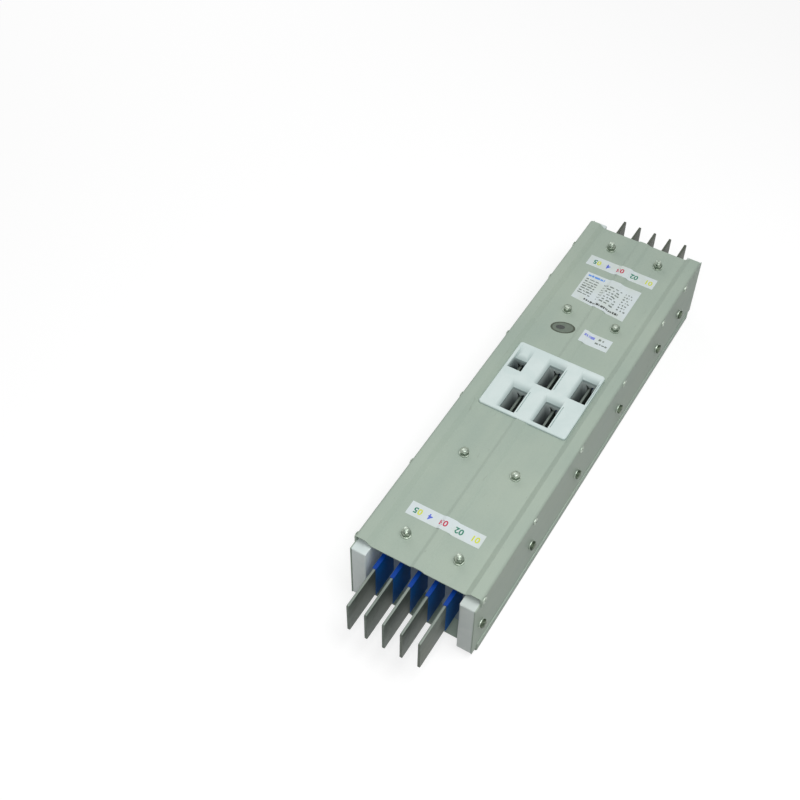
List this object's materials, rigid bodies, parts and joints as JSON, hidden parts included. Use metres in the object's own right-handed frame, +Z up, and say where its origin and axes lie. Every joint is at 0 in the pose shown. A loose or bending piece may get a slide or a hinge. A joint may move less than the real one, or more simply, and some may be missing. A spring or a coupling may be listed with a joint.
{
  "type": "busway section",
  "caption": "Straight plug-in busway section: flat bars on edge in a pressed sheet housing, bare bar ends at both joints and a plug-in window on top.",
  "frame": {"origin": "under the middle of the whole length, bar ends included, at the level of the base rails", "axes": "+Y along the run from the near joint to the far joint, +Z up through the plug-in window, +X to the phase one side"},
  "size_m": [0.1688, 0.714, 0.1159],
  "materials": {
    "painted_sheet": "satin grey-green paint",
    "white_moulding": "moulded, slightly glossy",
    "support_moulding": "moulded, matt",
    "bar_metal": "dull tinned, rolled along its length",
    "sleeve_blue": "shrunk tube, slightly glossy",
    "zinc_steel": "zinc plated, faint yellow passivation"
  },
  "bodies": {
    "root": {"base_cover": "painted_sheet", "busbar_l1": "bar_metal", "busbar_l2": "bar_metal", "busbar_l3": "bar_metal", "busbar_n": "bar_metal", "busbar_pe": "bar_metal", "cover_bolts": "zinc_steel", "cover_nuts": "zinc_steel", "cover_washers": "zinc_steel", "end_block_far_left": "white_moulding", "end_block_far_right": "white_moulding", "end_block_near_left": "white_moulding", "end_block_near_right": "white_moulding", "flange_screws": "zinc_steel", "lower_support_1": "support_moulding", "lower_support_2": "support_moulding", "lower_support_3": "support_moulding", "lower_support_4": "support_moulding", "shroud_l1": "white_moulding", "shroud_l2": "white_moulding", "shroud_l3": "white_moulding", "shroud_n": "white_moulding", "shroud_pe": "white_moulding", "side_plate_left": "painted_sheet", "side_plate_right": "painted_sheet", "side_screws": "zinc_steel", "side_washers": "zinc_steel", "sleeve_l1": "sleeve_blue", "sleeve_l2": "sleeve_blue", "sleeve_l3": "sleeve_blue", "sleeve_n": "sleeve_blue", "sleeve_pe": "sleeve_blue", "spacer_blocks_left": "white_moulding", "spacer_blocks_right": "white_moulding", "top_cover": "painted_sheet", "upper_support_1": "support_moulding", "upper_support_2": "support_moulding", "upper_support_3": "support_moulding", "upper_support_4": "support_moulding", "window_plate": "white_moulding"}
  },
  "joints": []
}
